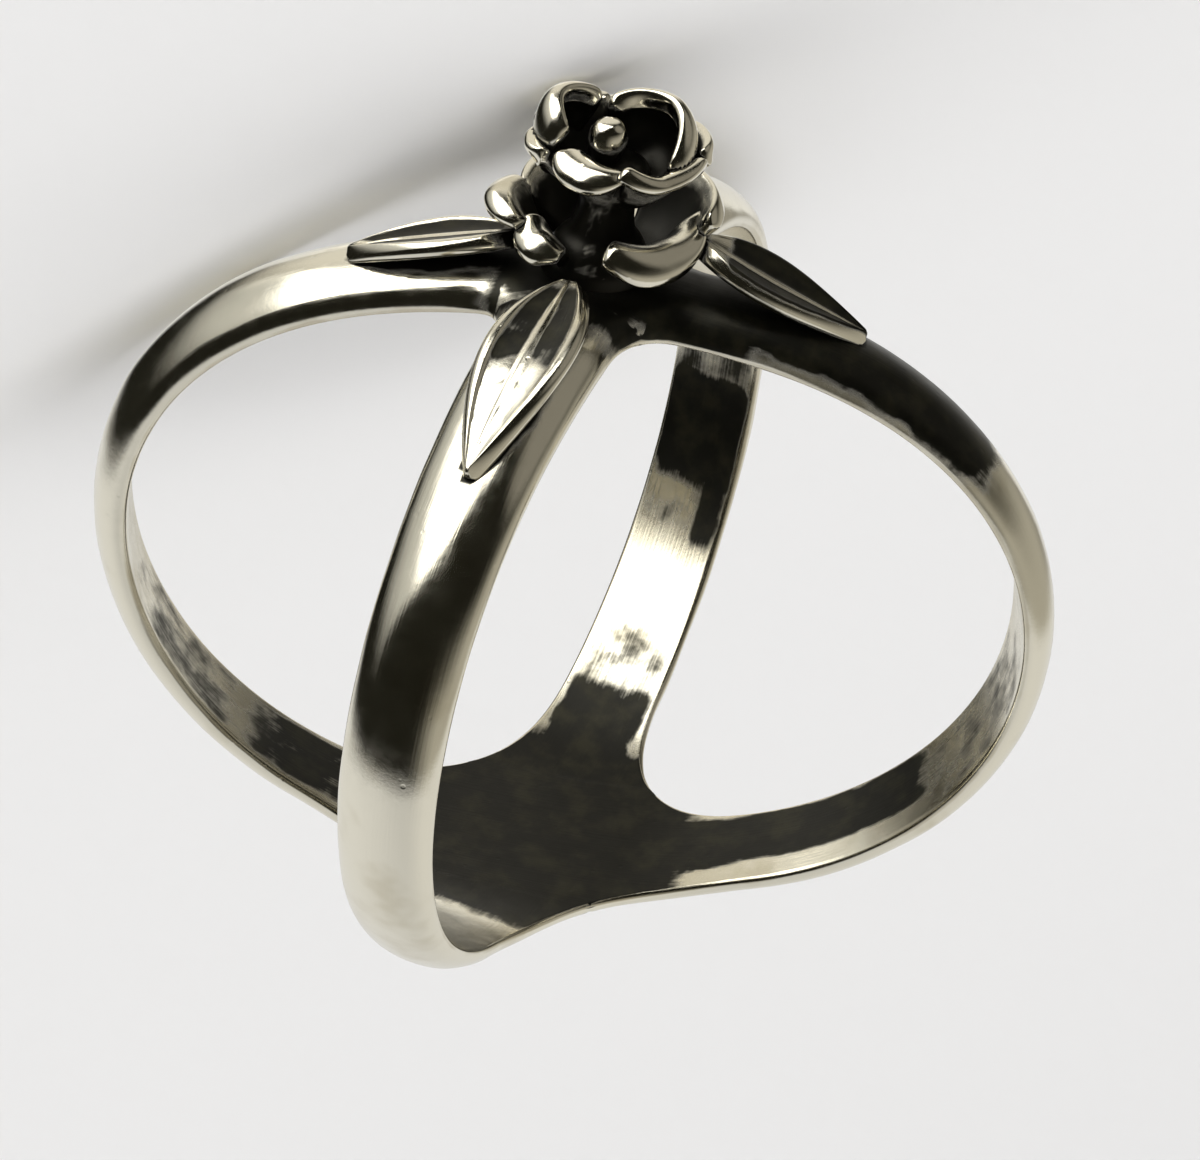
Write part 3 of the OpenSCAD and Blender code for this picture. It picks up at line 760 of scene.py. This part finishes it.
def handWorkedTree():
    # The band keeps the shallow dents and flats of the hammer and the file, fewer on its inner face
    tree, given = newTree("handWorked", {
        "Wobble depth": 0.08*mm, "Wobble size": 2.2*mm, "Inner share": 0.3, "Seed": 11.0})
    inner, crossing = named(tree, "inner", "crossing")
    share = addNode(tree, "ShaderNodeMapRange", {0: inner, 3: 1.0, 4: given["Inner share"]})
    reach = calc(tree, "MULTIPLY", waveField(tree, given), share)
    normal = addNode(tree, "GeometryNodeInputNormal")
    offset = addNode(tree, "ShaderNodeVectorMath", {0: normal, "Scale": reach}, operation="SCALE")
    moved = addNode(tree, "GeometryNodeSetPosition", {"Geometry": given["Sheet"], "Offset": offset})
    blurred = addNode(tree, "GeometryNodeBlurAttribute", {"Iterations": 14, "Weight": crossing},
                      data_type="FLOAT_VECTOR")
    live = next(socket for socket in blurred.inputs if socket.name == "Value" and socket.type == "VECTOR")
    tree.links.new(addNode(tree, "GeometryNodeInputPosition").outputs[0], live)
    eased = addNode(tree, "GeometryNodeSetPosition", {"Geometry": moved, "Position": blurred})
    finishTree(tree, eased, given["Metal"])
    return tree


def runTree(piece, tree, values):
    modifier = piece.modifiers.new(tree.name, "NODES")
    modifier.node_group = tree
    for item in tree.interface.items_tree:
        if item.in_out == "INPUT" and item.name in values:
            modifier[item.identifier] = values[item.name]
    return applied(piece)


def joinPieces(name, pieces):
    shape = bmesh.new()
    for piece in pieces:
        shape.from_mesh(piece.data)
        bpy.data.objects.remove(piece)
    mesh = bpy.data.meshes.new(name)
    shape.to_mesh(mesh)
    shape.free()
    mesh.shade_smooth()
    piece = bpy.data.objects.new(name, mesh)
    bpy.context.scene.collection.objects.link(piece)
    return piece


# Leaves in turn: arm, turn from the top at base and tip, half width, centre across the band, roll, how far the base
# is lifted, and the painted dark reflection: its start and end along the leaf, how far it goes to each side, and its
# depth
leaf = {"thick": 0.45, "dish": 0.26, "sink": 0.12, "peak": 0.84, "full": 0.85, "blunt": 0.02,
        "rows": 110, "columns": 56, "roundEdge": (0.05, 0.2),
        "darkReflectionRib": 0.12, "darkReflectionSoft": (0.12, 0.1, 0.14, 0.16)}  # soft at its start, end, midrib and sides
leaves = [
    {"name": "leaf_front", "arm": 3, "base": 12, "tip": 47.5, "half": 1.22, "centre": -0.1, "roll": -6, "lift": 0.35,
     "stainAndDarkReflection": (0.04, 0.48), "darkReflectionSide": 0.76, "depth": 0.75},
    {"name": "leaf_left", "arm": 2, "base": 12, "tip": 37.5, "half": 1.08, "centre": -0.1, "roll": -10, "lift": 0.35,
     "stainAndDarkReflection": (0.08, 0.85), "darkReflectionSide": 0.76, "depth": 0.85},
    {"name": "leaf_right", "arm": 0, "base": 15, "tip": 41.3, "half": 1.08, "centre": 0.2, "roll": 2, "lift": 0.95,
     "stainAndDarkReflection": (0.16, 1.1), "darkReflectionSide": 0.96, "depth": 0.85},
]


def leafPiece(l):
    arm = arms[l["arm"]]
    edgeT, edgeU = leaf["roundEdge"]
    half = roundedSteps(leaf["columns"]//2 + 1, edgeU)
    u = np.concatenate([-half[:0:-1], half])
    t = np.linspace(0, 1, leaf["rows"])
    uu, tt = np.meshgrid(u, t)
    inner = mix(leaf["blunt"], 1 - leaf["blunt"], tt)
    wide = l["half"]*np.sin(math.pi*inner**leaf["peak"])**leaf["full"]
    turn = np.radians(mix(l["base"], l["tip"], tt))
    roll = math.radians(l["roll"])
    h = (bandThick(turn) - leaf["sink"] + leaf["thick"]/2 + leaf["dish"]*wide*uu*uu
         + uu*wide*math.sin(roll) + l["lift"]*(1 - tt)**2)
    points = bandPoint(arm["loop"], arm["side"]*turn, l["centre"] + uu*wide*math.cos(roll), h)
    plump = plumpness(uu, edgeU)*plumpness(2*tt - 1, edgeT)
    # The leaf's dark patch is painted dark reflection
    (start, end), away = l["stainAndDarkReflection"], np.abs(uu)
    dark = l["depth"]
    for inside, soft in zip((tt - start, end + 0.1*away - tt, away - leaf["darkReflectionRib"], l["darkReflectionSide"] - away),
                            leaf["darkReflectionSoft"]):
        dark = dark*smooth(inside/soft + 0.5)
    piece = meshPiece(l["name"], laid(points.reshape(-1, 3)), gridFaces(0, len(t), len(u)),
                      {"plump": plump.ravel(), "along": tt.ravel(), "across": uu.ravel(), "tarnishAndDarkReflection": dark.ravel()})
    middle = piece.data.polygons[len(piece.data.polygons)//2]
    if middle.normal.dot(middle.center - Vector(laid([[0, 0, 0]])[0])) < 0:
        piece.data.flip_normals()
    return piece


shankObject = runTree(shankPiece(), handWorkedTree(), {"Metal": sterling})
print("shank", len(shankObject.data.polygons), "faces")
petalNodes = petalTree()
madePetals = [runTree(petalPiece(p), petalNodes, {"Thickness": rose["thick"]*mm, "Seed": float(k), "Metal": sterling})
              for k, p in enumerate(petals)]
lowerCount = sum(p["name"].startswith("lower") for p in petals)
pieces = [shankObject, joinPieces("rose_lower_petals", madePetals[:lowerCount]),
          joinPieces("rose_upper_petals", madePetals[lowerCount:])]
pieces.append(lathePiece("rose_core", curved(core["stem"])))
pieces.append(lathePiece("rose_bud", curved(core["bud"], 36), core["budAxis"], 48, core["grooveDepth"]))
for piece in pieces[1:]:
    piece.data.materials.append(sterling)
print("rose", sum(len(p.data.polygons) for p in pieces[1:]), "faces")
leafNodes = leafTree()
for l in leaves:
    pieces.append(runTree(leafPiece(l), leafNodes, {"Thickness": leaf["thick"]*mm, "Metal": sterling}))
addRecess(pieces)
print("recess shaded")

for piece in pieces:
    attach(piece, "root")
    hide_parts("ring")

# Camera: the photo's place and roll, kept with the ring as it is laid on its side
view = {"place": (-57.88, -88.55, 72.85), "azimuth": -123.7746, "height": 34.5566, "roll": 6.977, "lens": 144.27,
        "sensor": 36, "clip": (0.005, 10)}


def addCamera():
    az, el, roll = (math.radians(view[key]) for key in ("azimuth", "height", "roll"))
    back = Vector((math.cos(el)*math.cos(az), math.cos(el)*math.sin(az), math.sin(el)))
    right = (-back).cross(Vector((0, 0, 1))).normalized()
    up = right.cross(-back)
    turned = (math.cos(roll)*right + math.sin(roll)*up, -math.sin(roll)*right + math.cos(roll)*up, back)
    matrix = Matrix(turned).transposed().to_4x4()
    matrix.translation = Vector(view["place"])*mm
    data = bpy.data.cameras.new("camera")
    data.lens, data.sensor_width = view["lens"], view["sensor"]
    data.clip_start, data.clip_end = view["clip"]
    camera = bpy.data.objects.new("camera", data)
    camera.matrix_world = laidMatrix @ matrix
    bpy.context.scene.collection.objects.link(camera)
    bpy.context.scene.camera = camera


addCamera()


# Studio: a pale floor that curves up into a pale backdrop, and one soft sun for its shadows. The surroundings that
# the silver mirrors are laid out round the upright ring, as round a ring on a pale table beside a window.
studio = {"flat": 0.5, "curve": 0.6, "wall": 0.9, "sides": 96,
          "paper": "#E8E8E9", "paperRoughness": 0.95, "paperSheen": 0.1,
          "sun": 1.75, "sunAngle": 110, "sunFrom": (0.1, 0.1, 1.0)}
# Each is placed by azimuth and elevation in degrees round the upright ring. Its reach, edge or foot says where a soft
# edge starts and where it is full.
surroundings = {
    "room": "#1E1D17", "roomLight": 0.9,
    "table": "#F0EFEC", "tableLight": 0.8, "tableEdge": (-0.33, -0.50),
    "tableAt": (115, 0), "tableReach": (-0.5, 0.8), "tableShade": (0.80, 1.05),  # the last: lightness at both ends
    "behindAt": (54, 0), "behindReach": (0.82, 0.97), "behindRise": 0.5,  # pale paper that rises behind the ring
    # Pale wall right of the window, and a dim one to the front right
    "screen": "#E4DFD2", "screenLight": 0.95, "screenAt": (65, 28), "screenReach": (0.80, 0.95),
    "corner": "#CFC9BB", "cornerLight": 0.34, "cornerAt": (-20, 44), "cornerReach": (0.86, 0.97),
    "glow": "#B9B4A6", "glowLight": 0.8, "glowAt": (-40, 0), "glowReach": (-0.15, 0.75), "glowTop": (0.55, -0.20),
    "glowLow": 0.35,
    # Window: how much of its light fades down the wall, its foot and the fade's, the slope and place of each slanting
    # side, and the soft edges
    "window": "#FFFDF4", "windowLight": 3.2, "windowAt": (140, 45), "fadeLight": 0.55, "foot": (-0.28, 0.05),
    "fadeFoot": (-1.15, -0.25), "leftSide": (1.42, 0.95), "rightSide": (0.95, 0.42), "rightFrom": 0.25,
    "leftEdge": (-0.06, 0.10), "farLeft": (-0.50, -0.37), "rightEdge": (-0.04, 0.08), "ahead": (0.2, 0.4),
}


def addFloor():
    rows = [(studio["flat"]*k/6, 0) for k in range(7)]
    rows += [(studio["flat"] + studio["curve"]*math.sin(a), studio["curve"]*(1 - math.cos(a)))
             for a in (math.radians(7.5*k) for k in range(1, 13))]
    rows.append((rows[-1][0], rows[-1][1] + studio["wall"]))
    sides = studio["sides"]
    base = min(0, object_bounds()[0][2])  # the hammered silver reaches a hair below its CAD shape
    points = [(r*math.cos(math.tau*i/sides), r*math.sin(math.tau*i/sides), base + z)
              for r, z in rows[1:] for i in range(sides)]
    faces = [face[::-1] for face in gridFaces(0, len(rows) - 1, sides, closed=True)] + [tuple(range(sides))]
    floor = meshPiece("floor", points, faces)
    floor.data.shade_smooth()
    material = bpy.data.materials.new("palePaper")  # matt uncoated paper: an even pale tone with hardly any sheen
    material.use_nodes = True
    shader = material.node_tree.nodes["Principled BSDF"]
    shader.inputs["Base Color"].default_value = linear(studio["paper"])
    shader.inputs["Roughness"].default_value = studio["paperRoughness"]
    shader.inputs["Specular IOR Level"].default_value = studio["paperSheen"]
    floor.data.materials.append(material)
    floor.visible_glossy = floor.visible_shadow = False  # the silver mirrors the surroundings instead


def addSun():
    light = bpy.data.lights.new("softSun", "SUN")
    light.energy, light.angle = studio["sun"], math.radians(studio["sunAngle"])
    sun = bpy.data.objects.new("softSun", light)
    sun.rotation_euler = Vector(studio["sunFrom"]).to_track_quat("Z", "Y").to_euler()
    sun.visible_glossy = False
    bpy.context.scene.collection.objects.link(sun)


def addSurroundings():
    world = bpy.data.worlds.new("studio")
    bpy.context.scene.world = world
    world.use_nodes = True
    world.cycles.sampling_method = "NONE"
    tree = world.node_tree
    tree.nodes.clear()
    way = addNode(tree, "ShaderNodeTexCoord").outputs["Generated"]
    axes = {"up": Vector((0, 0, 1))}
    for name in ("table", "behind", "screen", "corner", "glow", "window"):
        az, el = (math.radians(angle) for angle in surroundings[name + "At"])
        axes[name] = Vector((math.cos(el)*math.cos(az), math.cos(el)*math.sin(az), math.sin(el)))
    axes["sideways"] = Vector((math.sin(az), -math.cos(az), 0))  # across the window
    axes["upwards"] = axes["sideways"].cross(axes["window"])
    share = {}
    for name, axis in axes.items():
        dot = addNode(tree, "ShaderNodeVectorMath", {0: way, 1: laidMatrix.to_3x3() @ axis}, operation="DOT_PRODUCT")
        share[name] = dot.outputs["Value"]
    # Pale table under the upright ring, brightest behind its left, with paper that rises behind the ring
    shade = ramp(tree, share["table"], *surroundings["tableReach"], *surroundings["tableShade"])
    rise = ramp(tree, share["behind"], *surroundings["behindReach"], high=surroundings["behindRise"])
    lowered = calc(tree, "SUBTRACT", share["up"], rise)
    table = calc(tree, "MULTIPLY", ramp(tree, lowered, *surroundings["tableEdge"]), shade)
    # Dim glow to the front right, above the table's edge, and the two walls
    glow = ramp(tree, share["glow"], *surroundings["glowReach"])
    for side in (ramp(tree, share["up"], *surroundings["glowTop"]),
                 ramp(tree, share["up"], *surroundings["tableEdge"], 1, surroundings["glowLow"])):
        glow = calc(tree, "MULTIPLY", glow, side)
    strength = {"table": table, "glow": glow}
    for name in ("screen", "corner"):
        strength[name] = ramp(tree, share[name], *surroundings[name + "Reach"])
    # Tall window behind the left shoulder, with slanting sides, whose light fades on the wall below it
    depth = calc(tree, "MAXIMUM", share["window"], 0.05)
    x, y = (calc(tree, "DIVIDE", share[name], depth) for name in ("sideways", "upwards"))
    below = calc(tree, "MAXIMUM", calc(tree, "SUBTRACT", surroundings["rightFrom"], y), 0.0)
    left = calc(tree, "SUBTRACT", calc(tree, "MULTIPLY_ADD", x, *surroundings["leftSide"]), y)
    right = calc(tree, "SUBTRACT", calc(tree, "MULTIPLY_ADD", below, *surroundings["rightSide"]), x)
    fade = surroundings["fadeLight"]/surroundings["windowLight"]
    window = calc(tree, "ADD", ramp(tree, y, *surroundings["foot"], high=1 - fade),
                  ramp(tree, y, *surroundings["fadeFoot"], high=fade))
    for value, edge in ((left, "leftEdge"), (x, "farLeft"), (right, "rightEdge"), (share["window"], "ahead")):
        window = calc(tree, "MULTIPLY", window, ramp(tree, value, *surroundings[edge]))
    strength["window"] = window
    colour = [c*surroundings["roomLight"] for c in linear(surroundings["room"])[:3]]
    for name, light in strength.items():
        tone = [c*surroundings[name + "Light"] for c in linear(surroundings[name])[:3]]
        scaled = addNode(tree, "ShaderNodeVectorMath", {0: tone, "Scale": light}, operation="SCALE")
        colour = addNode(tree, "ShaderNodeVectorMath", {0: scaled, 1: colour}, operation="ADD")
    back = addNode(tree, "ShaderNodeBackground", {"Color": colour, "Strength": 1.0})
    addNode(tree, "ShaderNodeOutputWorld", {"Surface": back})


addFloor()
addSun()
addSurroundings()
bpy.context.scene.view_settings.view_transform = "Standard"
